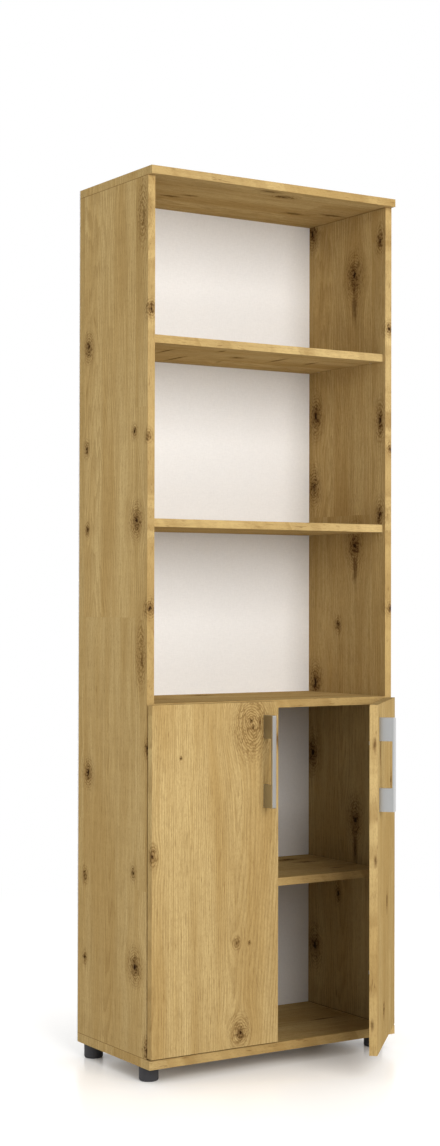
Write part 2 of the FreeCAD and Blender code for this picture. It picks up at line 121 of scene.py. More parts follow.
# Screws: the head's radius and rise to the shank's radius, the shank's radius and length, and where
# those of the left half stand and which way they point
HEAD_SHARE = 1.75
RISE_SHARE = 0.6
SCREWS = {
    "cup": (0.0016, 0.0122), "plate": (0.0025, 0.0150), "arm": (0.0020, 0.0060),
    "handle": (0.0020, 0.0270), "foot": (0.00225, 0.0290),
}
HINGE_LEVELS = (0.151, 0.639)
HINGE_SPOTS = (
    ("cup", [(-0.2690, -0.0288, level + side) for level in HINGE_LEVELS for side in (-0.024, 0.024)],
     (0, 1, 0)),
    ("plate", [(-0.2800, 0.0030, level + side) for level in HINGE_LEVELS for side in (-0.016, 0.016)],
     (1, 0, 0)),
    ("arm", [(-0.2780, 0.0150, level) for level in HINGE_LEVELS], (1, 0, 0)),
    ("handle", [(-0.0335, -0.0300, level) for level in (0.54975, 0.68925)], (0, 1, 0)),
)
SIDE_NAIL_LEVELS = (0.118, 0.51575, 0.9135, 1.31125, 1.709)
BOARD_NAIL_LEVELS = (0.039, 0.733, 1.787)
# Places where the grain swirls without a heart, written as knots are
LEFT_SIDE_SWIRLS = ((-0.006, 1.704, 0.009, 2.9, -0.300), (-0.003, 0.835, 0.009, 2.9, -0.300))
LEFT_DOOR_SWIRLS = ((-0.064, 0.690, 0.020, 1.30), (-0.094, 0.084, 0.010, 1.4))
NO_SWIRLS = ()
# A mark this flat or this long is a streak. The grain bends round the others by a share of the way,
# which fades with the square of the distance
FLAT_MARK = 0.4
LONG_MARK = 3
BEND_SHARE = 0.85
BEND_FADE = -0.11
# The staves of each board: an edge and a joint between two, how far the joints of neighbours are apart
# in lengths, and how long they are in stave lengths
STAVES = {
    "left_side": (0.020, 0.909, 0.437, 1.0),
    "right_side": (0.020, 1.128, 0.437, 1.4),
    "left_door": (-0.210, 0.90, 0.0, 1.0),
    "right_door": (0.090, 0.90, 0.0, 1.0),
    "shelves": (0.015, 0.30, 0.437, 1.0),
}
# Layers of the grain: swells to a metre across and along it, how far each stave differs, swells to a
# metre in depth, detail, roughness, and where the soft step on the noise starts and ends
GRAIN = {
    "streak": (150, 2.2, 1, 0, 3.0, 0.6, 0.36, 0.68),
    "dash": (330, 20, 1, 0, 2.0, 0.5, 0.50, 0.66),
    "fibre": (560, 10, 0, 200, 4.0, 0.7, 0.44, 0.66),
    "pores": (900, 40, 0, 400, 2.0, 0.6, 0.58, 0.70),
    "broad": (16, 1.4, 2, 0, 3.0, 0.6, 0.34, 0.66),
    "fleck": (420, 160, 0, 400, 3.0, 0.6, 0.48, 0.62),
}
# Where the painted shadow of a seam between boards starts to fade, and where it ends
SEAM_START = 0.0004
SEAM_END = 0.0020
# Lamps: size, place and what they point at
LAMPS = {
    "key": (3.2, (-0.18, -4.2, 2.25), (0.0, 0.0, 0.9)),
    "fill": (2.6, (-3.8, 0.6, 0.7), (-0.3, 0.1, 0.7)),
    "side": (2.0, (3.6, -2.2, 0.9), (0.2, -0.2, 0.5)),
}
LAMP_COLOUR = (1.0, 0.98, 0.955)
# The floor: its width, where it fades to white, how far the painted shadow in its glow reaches, and its own glow
FLOOR_WIDTH = 40
FADE_START = 0.9
FADE_END = 2.4
SHADOW_REACH = 0.5
GLOW = 0.47
GLOW_COLOUR = (1.0, 0.985, 0.965)
# Share of the floor's colour that lights the bookcase
BOUNCE = 0.82
# Small shapes: a screw's slot to its head, the rounding of the head to its rise, the end of a shank to
# its radius, the edges that look round, and how close counts as level
SLOT_LENGTH = 1.15
SLOT_WIDTH = 0.22
SLOT_DEPTH = 1.1
HEAD_ROUND = 0.6
SHANK_END = 0.15
SMOOTH_ANGLE = math.radians(35)
NEAR = 1e-6


class Wire:
    """One output of a node, which adds, scales and compares as a number does."""

    def __init__(self, paint, socket):
        self.paint = paint
        self.socket = socket

    def other(self, name):
        """Another output of the same node."""
        return Wire(self.paint, self.socket.node.outputs[name])

    def sum(self, operation, *terms):
        """A Math node on this wire and more terms."""
        return self.paint.node("ShaderNodeMath", {"operation": operation}, dict(enumerate(terms)))

    def __add__(self, term):
        return self.sum("ADD", self, term)

    def __radd__(self, term):
        return self.sum("ADD", term, self)

    def __sub__(self, term):
        return self.sum("SUBTRACT", self, term)

    def __rsub__(self, term):
        return self.sum("SUBTRACT", term, self)

    def __mul__(self, term):
        return self.sum("MULTIPLY", self, term)

    def __truediv__(self, term):
        return self.sum("DIVIDE", self, term)

    def floor(self):
        return self.sum("FLOOR", self)

    def fract(self):
        return self.sum("FRACT", self)

    def root(self):
        return self.sum("SQRT", self)

    def wave(self):
        return self.sum("SINE", self)

    def grown(self):
        return self.sum("EXPONENT", self)

    def least(self, term):
        return self.sum("MINIMUM", self, term)

    def most(self, term):
        return self.sum("MAXIMUM", self, term)

    def rise(self, low, high):
        """A soft step from 0 at low to 1 at high."""
        settings = {"interpolation_type": "SMOOTHSTEP", "clamp": True}
        return self.paint.node("ShaderNodeMapRange", settings, {0: self, 1: low, 2: high})


class Paint:
    """The nodes of a new material, or of a world that is handed in."""

    def __init__(self, name, world=None):
        self.owner = world or bpy.data.materials.new(name)
        self.owner.use_nodes = True
        self.tree = self.owner.node_tree
        self.tree.nodes.clear()

    def node(self, kind, settings=None, sockets=None, output=0):
        """Any node: its settings are set first, then its sockets get values or links."""
        item = self.tree.nodes.new(kind)
        for name, value in (settings or {}).items():
            setattr(item, name, value)
        for name, value in (sockets or {}).items():
            if isinstance(value, Wire):
                self.tree.links.new(value.socket, item.inputs[name])
            else:
                item.inputs[name].default_value = value
        return Wire(self, item.outputs[output] if item.outputs else None)

    def place(self, shift=(0, 0, 0), turn=0):
        """Object coordinates, turned about Z and shifted, as three wires."""
        point = self.node("ShaderNodeTexCoord", output="Object")
        moved = self.node("ShaderNodeMapping", {}, {
            "Vector": point, "Location": shift, "Rotation": (0, 0, turn),
        })
        split = self.node("ShaderNodeSeparateXYZ", {}, {0: moved})
        return split, split.other("Y"), split.other("Z")

    def point(self, x, y, z=0.0):
        return self.node("ShaderNodeCombineXYZ", {}, {0: x, 1: y, 2: z})

    def vector(self, operation, *terms, output=0):
        settings = {"operation": operation}
        return self.node("ShaderNodeVectorMath", settings, dict(enumerate(terms)), output)

    def noise(self, point, detail=2.0, rough=0.5):
        """Smooth noise from 0 to 1 with one swell to a unit of the point."""
        return self.node("ShaderNodeTexNoise", {"noise_dimensions": "3D"}, {
            "Vector": point, "Scale": 1.0, "Detail": detail, "Roughness": rough,
        })

    def chance(self, code):
        """A fixed random value for each whole number."""
        return self.node("ShaderNodeTexWhiteNoise", {"noise_dimensions": "1D"}, {"W": code})

    def blend(self, share, first, second):
        """A mix of two colours."""
        sockets = {0: share, 6: first, 7: second}
        return self.node("ShaderNodeMix", {"data_type": "RGBA"}, sockets, 2)

    def dim(self, colour, share):
        """A colour made lighter or darker."""
        return self.node("ShaderNodeVectorMath", {"operation": "SCALE"}, {0: colour, "Scale": share})

    def bump(self, height, strength, distance):
        return self.node("ShaderNodeBump", {}, {
            "Strength": strength, "Distance": distance, "Height": height,
        })

    def surface(self, **sockets):
        """The one shader of the material."""
        named = {
            name.replace("_", " ").title().replace("Ior", "IOR"): value
            for name, value in sockets.items()
        }
        shader = self.node("ShaderNodeBsdfPrincipled", {}, named)
        self.node("ShaderNodeOutputMaterial", {}, {"Surface": shader})
        return self.owner

    def seen(self):
        """1 for rays from the camera, straight, mirrored or let through, and 0 for light."""
        path = self.node("ShaderNodeLightPath")
        straight = path.other("Is Camera Ray").most(path.other("Is Glossy Ray"))
        return straight.most(path.other("Is Transmission Ray"))


def paint_on(material, *nodes):
    """Put a material on nodes of the frame."""
    for name in nodes:
        mesh = frame["nodes"][name].data
        mesh.materials.clear()
        mesh.materials.append(material)


def shut_place():
    """The shift and turn that take a point of the right door, ajar at rest, to where it shuts."""
    pivot = RIGHT_PIVOT.to_2d().to_3d()
    return pivot - Matrix.Rotation(-DOOR_AJAR, 3, "Z") @ pivot, -DOOR_AJAR


def rgba(colour):
    return (*colour, 1.0)


class OakLook(bpy.types.PropertyGroup):
    """The oak foil on the boards and doors."""

    pale: FloatVectorProperty(
        name="Pale oak", description="The lightest wood between the grain lines", subtype="COLOR",
        size=3, min=0, max=1, default=(0.540, 0.400, 0.182))
    honey: FloatVectorProperty(
        name="Honey oak", description="The warmer bands in the wood", subtype="COLOR",
        size=3, min=0, max=1, default=(0.440, 0.302, 0.120))
    line: FloatVectorProperty(
        name="Grain line", description="The late wood lines and fibres", subtype="COLOR",
        size=3, min=0, max=1, default=(0.235, 0.138, 0.044))
    knot_ring: FloatVectorProperty(
        name="Knot ring", description="The brown wood round a knot", subtype="COLOR",
        size=3, min=0, max=1, default=(0.135, 0.066, 0.020))
    knot_heart: FloatVectorProperty(
        name="Knot heart", description="The dark heart of a knot or crack", subtype="COLOR",
        size=3, min=0, max=1, default=(0.030, 0.014, 0.006))
    ring_gap: FloatProperty(
        name="Ring gap", description="Distance between growth rings", unit="LENGTH",
        min=0.001, default=0.0052)
    knot_gap: FloatProperty(
        name="Knot ring gap", description="Distance between the rings round a knot", unit="LENGTH",
        min=0.001, default=0.0042)
    stave_width: FloatProperty(
        name="Stave width", description="Width of the staves that the foil shows", unit="LENGTH",
        min=0.02, default=0.210)
    stave_length: FloatProperty(
        name="Stave length", description="Length of the staves that the foil shows", unit="LENGTH",
        min=0.1, default=0.95)
    roughness: FloatProperty(
        name="Roughness", description="How matt the foil is", subtype="FACTOR",
        min=0, max=1, default=0.50)


class FittingLook(bpy.types.PropertyGroup):
    """The white back, the metal and the plastic."""

    back: FloatVectorProperty(
        name="Back", description="White lacquer on the back", subtype="COLOR",
        size=3, min=0, max=1, default=(0.80, 0.797, 0.795))
    handle: FloatVectorProperty(
        name="Handle", description="Satin metal of the handles", subtype="COLOR",
        size=3, min=0, max=1, default=(0.56, 0.565, 0.56))
    # The legs behind this front strip get painted shade in the handles' colour.
    strip: FloatProperty(
        name="Strip", description="Thickness of a handle's front strip", unit="LENGTH",
        min=0.0005, default=0.0030)
    zinc: FloatVectorProperty(
        name="Zinc", description="Plated steel of hinges and screws", subtype="COLOR",
        size=3, min=0, max=1, default=(0.60, 0.60, 0.61))
    plastic: FloatVectorProperty(
        name="Plastic", description="Black plastic of the feet", subtype="COLOR",
        size=3, min=0, max=1, default=(0.007, 0.0055, 0.002))
    beech: FloatVectorProperty(
        name="Beech", description="Plain beech of the dowels", subtype="COLOR",
        size=3, min=0, max=1, default=(0.52, 0.34, 0.19))
    weave: FloatProperty(
        name="Weave", description="Distance between the threads pressed into the back",
        unit="LENGTH", min=0.0005, default=0.0024)


class StudioLook(bpy.types.PropertyGroup):
    """The floor, the lamps and the camera."""

    floor: FloatVectorProperty(
        name="Floor", description="Colour of the glossy floor", subtype="COLOR",
        size=3, min=0, max=1, default=(0.95, 0.94, 0.925))
    sky: FloatProperty(
        name="Sky", description="Light from all round", min=0, default=0.31)
    key: FloatProperty(
        name="Key lamp", description="Power of the large front lamp", unit="POWER", min=0, default=196)
    fill: FloatProperty(
        name="Fill lamp", description="Power of the lamp on the left", unit="POWER", min=0, default=76)
    side: FloatProperty(
        name="Side lamp", description="Power of the lamp on the right", unit="POWER", min=0, default=30)
    lens: FloatProperty(
        name="Lens", description="Focal length on a 36 mm tall film", unit="CAMERA", min=1,
        default=60.27)
    eye: FloatVectorProperty(
        name="Eye", description="Where the camera stands", subtype="TRANSLATION", unit="LENGTH",
        size=3, default=(-2.2013, -3.2613, 0.9489))
    yaw: FloatProperty(
        name="Yaw", description="Turn of the camera to the right", subtype="ANGLE",
        default=math.radians(32.62))
    pitch: FloatProperty(
        name="Pitch", description="Tilt of the camera upwards", subtype="ANGLE",
        default=math.radians(0.738))
    roll: FloatProperty(
        name="Roll", description="Turn of the camera about its view", subtype="ANGLE",
        default=math.radians(0.129))


def reach_of(paint, solid, knot):
    """Distance from a knot's middle, in half widths of it."""
    across, along, half, tall, *deep = knot
    offset = paint.vector("SUBTRACT", solid, (across, along, deep[0] if deep else 0))
    spot = paint.vector("MULTIPLY", offset, (1 / half, 1 / (half * tall), 1 / half if deep else 0))
    return paint.vector("LENGTH", spot, output="Value")


def closest(wires):
    """The least of some wires."""
    result = wires[0]
    for wire in wires[1:]:
        result = result.least(wire)
    return result


def spread_marks(paint, across, solid, knots, swirls):
    """Bend the grain round knots, and find how near the closest mark of each kind is."""
    marks = {"heart": [], "streak": [], "ring": [], "spread": []}
    flow = across
    for spot in (*knots, *swirls):
        reach = reach_of(paint, solid, spot)
        if not FLAT_MARK < spot[3] < LONG_MARK:
            marks["streak"].append(reach)
            continue
        flow = flow - (reach * reach * BEND_FADE).grown() * (across - spot[0]) * BEND_SHARE
        marks["ring"].append(reach)
        marks["spread"].append(reach * spot[2])
        if spot not in swirls:
            marks["heart"].append(reach)
    return flow, {kind: closest(wires) for kind, wires in marks.items()}


def grain_layers(paint, flow, along, deep, code):
    """The layers of the grain, each from 0 to 1."""
    layers = []
    for wide, tall, own, depth, detail, rough, low, high in GRAIN.values():
        point = paint.point(flow * wide, along * tall, code * own + deep * depth)
        layers.append(paint.noise(point, detail, rough).rise(low, high))
    return layers


def tinted(paint, colour, *tints):
    """A colour with shares of other colours laid over it in turn."""
    for share, tint in tints:
        colour = paint.blend(share, colour, rgba(tint))
    return colour


def oak(paint, look, across, along, deep, knots, swirls, staves, ends=None):
    """Knotty oak foil: staves, growth rings, fibres, pores, knots and streaks.

    With ends, the two levels where a board meets others, it has a painted shadow along them.
    """
    edge, joint, stagger, stretch = staves
    stave = ((across - edge) / look.stave_width).floor()
    piece = ((along - joint) / (look.stave_length * stretch) + stave * stagger).floor()
    code = stave * 3.0 + piece * 11.0
    tone = paint.chance(code + 0.5)
    slide = paint.chance(code + 40.5)

    solid = paint.point(across, along, deep)
    wobble = paint.noise(paint.point(across * 150, along * 70, deep * 150), 4.0, 0.65)
    flow, marks = spread_marks(paint, across, solid, knots, swirls)

    drift = paint.noise(paint.point(flow * 5 + slide * 60, along * 1.1, code), 2.0)
    bend = paint.noise(paint.point(flow * 22, along * 3.2 + slide * 30, code), 2.0)
    heart = (stave + 0.5 + (slide - 0.5) * 0.7) * look.stave_width + edge
    side = flow - heart + (drift - 0.5) * 0.09
    depth = (along - joint) * 0.055 + (slide - 0.5) * 0.12 + (bend - 0.5) * 0.030
    radius = (side * side + depth * depth).root()
    turn = (radius / look.ring_gap + (bend - 0.5) * 1.3).fract()
    ring = turn.rise(0.25, 0.90) * (1 - turn.rise(0.92, 1.0))
    streak, dash, fibre, pores, broad, fleck = grain_layers(paint, flow, along, deep, code)
    cloud = paint.noise(paint.point(across * 9, along * 6, deep * 9), 3.0, 0.6)

    ragged = marks["heart"] + (wobble - 0.5) * 1.9
    heart_dark = 1 - ragged.rise(0.08, 0.52)
    brown = 1 - ragged.rise(0.50, 1.8)
    halo = 1 - marks["ring"].rise(0.9, 3.6)
    ripple = marks["spread"] * (math.tau / look.knot_gap) + wobble * 9
    knot_rings = (ripple.wave() * 0.5 + 0.5).rise(0.35, 0.95) * halo
    torn = marks["streak"] + (wobble - 0.5) * 1.3
    split = (1 - torn.rise(0.35, 1.40)) * (0.55 + fibre * 0.40)
    split_dark = (1 - torn.rise(0.15, 0.70)) * (0.30 + fleck * 0.60)
    dark = (heart_dark + brown * fleck * 0.5 + split_dark * 0.7).least(1.0)

    colour = tinted(
        paint, rgba(look.pale), (broad, look.honey), (streak * 0.20, look.line),
        (ring * 0.28, look.line), (dash * 0.26, look.line), (fibre * 0.22, look.line),
        (fleck * 0.20, look.line), (pores * (0.22 + ring * 0.40), look.knot_ring),
    )
    colour = tinted(
        paint, paint.dim(colour, 0.970 + tone * 0.06 + cloud * 0.14),
        (knot_rings * 0.72, look.line), (halo * (0.10 + fleck * 0.48), look.knot_ring),
        (split, look.knot_ring), (brown * (0.55 + fleck * 0.35), look.knot_ring),
        (dark, look.knot_heart),
    )
    if ends:
        # Painted shadow: darker along the board's two ends, where it meets other boards.
        seam_shadow = 1 - (along - ends[0]).least(ends[1] - along).rise(SEAM_START, SEAM_END)
        colour = tinted(paint, colour, (seam_shadow * 0.7, look.knot_ring))
    height = fibre * 0.25 - pores * 0.6 - heart_dark * 0.8 - ring * 0.15
    return paint.surface(
        base_color=colour,
        roughness=look.roughness + pores * 0.16 + ring * 0.05,
        specular_ior_level=0.0,
        normal=paint.bump(height, 0.35, 0.0002),
    )


class BOOKCASE_OT_boards(bpy.types.Operator):
    """Finish the boards and doors in oak foil."""

    bl_idname = "bookcase.boards"
    bl_label = "Boards and doors"

    def execute(self, context):
        look = context.scene.oak_look
        for name, knots, swirls in (
            ("left_side", LEFT_SIDE_KNOTS, LEFT_SIDE_SWIRLS),
            ("right_side", RIGHT_SIDE_KNOTS, NO_SWIRLS),
        ):
            paint = Paint("oak_" + name)
            x, y, z = paint.place()
            low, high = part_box(name)
            ends = (low.z, high.z)
            paint_on(oak(paint, look, y, z, x, knots, swirls, STAVES[name], ends), name)
        for name, knots, swirls, place in (
            ("left_door", LEFT_DOOR_KNOTS, LEFT_DOOR_SWIRLS, ()),
            ("right_door", RIGHT_DOOR_KNOTS, NO_SWIRLS, shut_place()),
        ):
            paint = Paint("oak_" + name)
            x, y, z = paint.place(*place)
            paint_on(oak(paint, look, x, z, y, knots, swirls, STAVES[name]), name)
        paint = Paint("oak_shelves")
        x, y, z = paint.place()
        along = x + z * BOARD_SHIFT
        material = oak(paint, look, y, along, z, SHELF_KNOTS, NO_SWIRLS, STAVES["shelves"])
        paint_on(material, "top_panel", "bottom_panel", "middle_shelf", "upper_shelf", "lower_shelf",
                 "cabinet_shelf")
        return {"FINISHED"}


class BOOKCASE_OT_back(bpy.types.Operator):
    """Finish the back in white lacquer with a fine pressed weave."""

    bl_idname = "bookcase.back"
    bl_label = "White back"

    def execute(self, context):
        look = context.scene.fitting_look
        paint = Paint("white_back")
        x, y, z = paint.place()
        weft = paint.noise(paint.point(x / look.weave * 0.25, z / look.weave, y), 2.0, 0.6)
        warp = paint.noise(paint.point(x / look.weave, z / look.weave * 0.25, y + 7), 2.0, 0.6)
        cloth = weft + warp - 1
        cloud = paint.noise(paint.point(x * 7, z * 7, y), 2.0)
        colour = paint.dim(look.back, 0.97 + cloth * 0.10 + cloud * 0.03)
        paint_on(paint.surface(
            base_color=colour, roughness=0.58 + cloth * 0.1,
            normal=paint.bump(cloth, 0.25, 0.0003),
        ), "back_panel")
        return {"FINISHED"}


class BOOKCASE_OT_handles(bpy.types.Operator):
    """Finish the handles in satin metal, with painted shade on the legs behind the front strip."""

    bl_idname = "bookcase.handles"
    bl_label = "Handles"

    def execute(self, context):
        look = context.scene.fitting_look
        low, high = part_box("left_handle")
        for side in ("left", "right"):
            paint = Paint(side + "_satin_handle")
            x, y, z = paint.place() if side == "left" else paint.place(*shut_place())
            # Painted shade: the legs behind the front strip come out darker than the strip itself.
            strip = 1 - y.rise(low.y + look.strip, low.y + look.strip * 1.5)
            brush = paint.noise(paint.point(x * 2600, y * 2600, z * 45), 2.0, 0.6)
            cloud = paint.noise(paint.point(x * 40, y * 40, z * 12), 2.0)
            colour = paint.dim(look.handle, 0.70 + strip * 0.28 + brush * 0.10 + cloud * 0.06)
            paint_on(paint.surface(
                base_color=colour, metallic=1.0, roughness=0.26 + brush * 0.14,
                normal=paint.bump(brush, 0.12, 0.0001),
            ), side + "_handle")
        return {"FINISHED"}


class BOOKCASE_OT_fittings(bpy.types.Operator):
    """Finish hinges, screws, pins, nails, dowels and feet."""

    bl_idname = "bookcase.fittings"
    bl_label = "Fittings"

    def execute(self, context):
        look = context.scene.fitting_look
        paint = Paint("zinc_steel")
        x, y, z = paint.place()
        cloud = paint.noise(paint.point(x * 160, y * 160, z * 160), 3.0, 0.6)
        colour = paint.dim(look.zinc, 0.88 + cloud * 0.2)
        zinc = paint.surface(base_color=colour, metallic=1.0, roughness=0.24 + cloud * 0.16)
        paint = Paint("black_plastic")
        x, y, z = paint.place()
        grain = paint.noise(paint.point(x * 1800, y * 1800, z * 1800), 2.0)
        colour = paint.dim(look.plastic, 0.85 + grain * 0.3)
        plastic = paint.surface(
            base_color=colour, roughness=0.44 + grain * 0.12, specular_ior_level=0.06,
            normal=paint.bump(grain, 0.15, 0.0001))
        paint = Paint("plain_beech")
        x, y, z = paint.place()
        fibre = paint.noise(paint.point(x * 60, y * 900, z * 900), 2.0)
        beech = paint.surface(base_color=paint.dim(look.beech, 0.85 + fibre * 0.3), roughness=0.7)
        slots = {entry["node"]: entry["material_slot"] for entry in frame["record"]["subparts"]}
        finishes = {"zinc_steel": zinc, "black_plastic": plastic, "beech": beech}
        for name, slot in slots.items():
            if slot in finishes:
                paint_on(finishes[slot], name)
        return {"FINISHED"}


def pick(kind, test):
    """Select the edges or faces of the mesh in edit mode whose corners all pass a test."""
    bpy.ops.mesh.select_mode(type=kind)
    bpy.ops.mesh.select_all(action="DESELECT")
    shape = bmesh.from_edit_mesh(bpy.context.object.data)
    items = shape.edges if kind == "EDGE" else shape.faces
    for item in items:
        corners = [corner.co for corner in item.verts]
        item.select_set(all(test(corner) for corner in corners))
    bmesh.update_edit_mesh(bpy.context.object.data)


def start_rod(name, sides, radius, length):
    """A rod on z = 0 that goes up, open for editing."""
    bpy.ops.object.select_all(action="DESELECT")
    bpy.ops.mesh.primitive_cylinder_add(vertices=sides, radius=radius, depth=length, location=(0, 0, 0))
    piece = bpy.context.object
    piece.name = name
    piece.data.transform(Matrix.Translation((0, 0, length / 2)))
    bpy.ops.object.mode_set(mode="EDIT")
    return piece


def round_rim(level, offset, steps):
    """Round the rim of a rod at one level."""
    pick("EDGE", lambda corner: abs(corner.z - level) < NEAR)
    bpy.ops.mesh.bevel(offset=offset, segments=steps, profile=0.5, affect="EDGES")


def add_shank(radius, length):
    """Add a shank that goes down from z = 0 and narrows to its end, in edit mode."""
    bpy.ops.mesh.primitive_cylinder_add(vertices=16, radius=radius, depth=length)
    bpy.ops.transform.translate(value=(0, 0, -length / 2))
    pick("FACE", lambda corner: abs(corner.z + length) < NEAR)
    bpy.ops.transform.resize(value=(SHANK_END, SHANK_END, 1), center_override=(0, 0, -length))


def end_piece(piece):
    """Leave edit mode and smooth the round faces."""
    bpy.ops.object.mode_set(mode="OBJECT")
    bpy.ops.object.shade_smooth_by_angle(angle=SMOOTH_ANGLE)
    return piece


def set_out(master, name, places, material, body, *nodes):
    """Copy a master to its places as one piece that stands for nodes of the frame."""
    copies = []
    for place in places:
        item = bpy.data.objects.new(name, master.data.copy())
        item.data.transform(place)
        bpy.context.scene.collection.objects.link(item)
        copies.append(item)
    bpy.ops.object.select_all(action="DESELECT")
    for item in copies:
        item.select_set(True)
    bpy.context.view_layer.objects.active = copies[0]
    if len(copies) > 1:
        bpy.ops.object.join()
    piece = bpy.context.object
    piece.name = name
    piece.data.materials.clear()
    piece.data.materials.append(bpy.data.materials[material])
    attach(piece, body)
    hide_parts(*nodes)
    return piece


def drop(*masters):
    """Remove masters once their copies are set out."""
    for master in masters:
        bpy.data.objects.remove(master)


def facing(point, way):
    """A place for a piece that points up, turned to point another way."""
    turn = Vector((0, 0, 1)).rotation_difference(Vector(way)).to_matrix().to_4x4()
    return Matrix.Translation(Vector(point)) @ turn


def swung(places):
    """Places on the shut right door, swung to where it stands ajar."""
    swing = Matrix.Translation(RIGHT_PIVOT) @ Matrix.Rotation(DOOR_AJAR, 4, "Z")
    swing = swing @ Matrix.Translation(-RIGHT_PIVOT)
    return [swing @ place for place in places]


def mirrored(places):
    """The same places on the right half of the bookcase."""
    result = []
    for place in places:
        point = place.translation.copy()
        way = place.to_3x3() @ Vector((0, 0, 1))
        point.x = -point.x
        way.x = -way.x
        result.append(facing(point, way))
    return result


class FittingSizes(bpy.types.PropertyGroup):
    """Sizes of the small pieces, as the frame has them."""

    foot_radius: FloatProperty(
        name="Foot radius", description="Half the width of a foot", unit="LENGTH", default=0.0195)
    foot_height: FloatProperty(
        name="Foot height", description="From the floor to the base", unit="LENGTH", default=0.030)
    foot_round: FloatProperty(
        name="Foot rounding", description="Rounding of a foot's lower rim", unit="LENGTH",
        default=0.004)
    foot_well: FloatProperty(
        name="Foot well", description="Radius of the well for the screw", unit="LENGTH", default=0.0065)
    foot_well_depth: FloatProperty(
        name="Well depth", description="Depth of the well for the screw", unit="LENGTH", default=0.014)
    pin_radius: FloatProperty(
        name="Pin radius", description="Half the width of a shelf pin", unit="LENGTH", default=0.0025)
    pin_length: FloatProperty(
        name="Pin length", description="Length of a shelf pin", unit="LENGTH", default=0.017)
    nail_radius: FloatProperty(
        name="Nail head", description="Radius of the nails' heads", unit="LENGTH", default=0.0020)
    nail_shank: FloatProperty(
        name="Nail shank", description="Radius of the nails' shanks", unit="LENGTH", default=0.0008)
    nail_length: FloatProperty(
        name="Nail length", description="Length of the nails' shanks", unit="LENGTH", default=0.020)
    foot_rim: FloatProperty(
        name="Foot rim", description="Rounding of a foot's upper rim", unit="LENGTH", default=0.0006)
    pin_rim: FloatProperty(
        name="Pin rim", description="Rounding of a pin's rims", unit="LENGTH", default=0.0008)
    nail_rim: FloatProperty(
        name="Nail rim", description="Rounding of a nail's head", unit="LENGTH", default=0.0002)
    nail_rise: FloatProperty(
        name="Nail rise", description="Thickness of the nails' heads", unit="LENGTH", default=0.0006)


class BOOKCASE_OT_feet(bpy.types.Operator):
    """Model the round feet with a rounded rim and a well for the screw."""

    bl_idname = "bookcase.feet"
    bl_label = "Feet"

    def execute(self, context):
        sizes = context.scene.fitting_sizes
        foot = start_rod("foot_master", 64, sizes.foot_radius, sizes.foot_height)
        round_rim(0, sizes.foot_round, 6)
        round_rim(sizes.foot_height, sizes.foot_rim, 2)
        pick("FACE", lambda corner: abs(corner.z) < NEAR)
        bpy.ops.mesh.inset(thickness=sizes.foot_radius - sizes.foot_round - sizes.foot_well)
        lift = {"value": (0, 0, sizes.foot_well_depth)}
        bpy.ops.mesh.extrude_region_move(TRANSFORM_OT_translate=lift)
        end_piece(foot)
        for row in ("front", "rear"):
            low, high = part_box(row + "_feet")
            along = (low.y + high.y) / 2
            places = [
                Matrix.Translation((across, along, 0))
                for across in (low.x + sizes.foot_radius, high.x - sizes.foot_radius)
            ]
            set_out(foot, row + "_moulded_feet", places, "black_plastic", "carcass", row + "_feet")
        drop(foot)
        return {"FINISHED"}


class BOOKCASE_OT_screws(bpy.types.Operator):
    """Model the screws of hinges, handles and feet, with crossed slots in their heads."""

    bl_idname = "bookcase.screws"
    bl_label = "Screws"

    def execute(self, context):
        masters = {}
        for kind, (shank, length) in SCREWS.items():
            masters[kind] = self.make_screw(kind, shank, length)
        for side in ("left", "right"):
            for kind, spots, way in HINGE_SPOTS:
                places = [facing(spot, way) for spot in spots]
                if side == "right":
                    places = mirrored(places)
                body = "carcass"
                if kind in ("cup", "handle"):
                    body = side + "_door_leaf"
                    places = swung(places) if side == "right" else places
                name = f"{side}_{kind}_screws"
                set_out(masters[kind], name + "_slotted", places, "zinc_steel", body, name)
        low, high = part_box("foot_screws")
        reach = SCREWS["foot"][0] * HEAD_SHARE
        places = [
            facing((across, along, context.scene.fitting_sizes.foot_well_depth), (0, 0, -1))
            for across in (low.x + reach, high.x - reach)
            for along in (low.y + reach, high.y - reach)
        ]
        set_out(masters["foot"], "foot_screws_slotted", places, "zinc_steel", "carcass", "foot_screws")
        drop(*masters.values())
        return {"FINISHED"}

    def make_screw(self, kind, shank, length):
        """A pan-head screw that stands on z = 0 with its shank below, pointed at the end."""
        head = shank * HEAD_SHARE
        rise = shank * RISE_SHARE
        screw = start_rod(kind + "_screw_master", 24, head, rise)
        round_rim(rise, rise * HEAD_ROUND, 3)
        add_shank(shank, length)
        end_piece(screw)
        for turn in (0, math.pi / 2):
            bpy.ops.object.select_all(action="DESELECT")
            bpy.ops.mesh.primitive_cube_add(size=1, location=(0, 0, rise), rotation=(0, 0, turn))
            slot = bpy.context.object
            slot.scale = (head * SLOT_LENGTH, head * SLOT_WIDTH, rise * SLOT_DEPTH)
            carve = screw.modifiers.new("slot", "BOOLEAN")
            carve.operation = "DIFFERENCE"
            carve.object = slot
            bpy.context.view_layer.objects.active = screw
            bpy.ops.object.modifier_apply(modifier=carve.name)
            bpy.data.objects.remove(slot)
        return screw


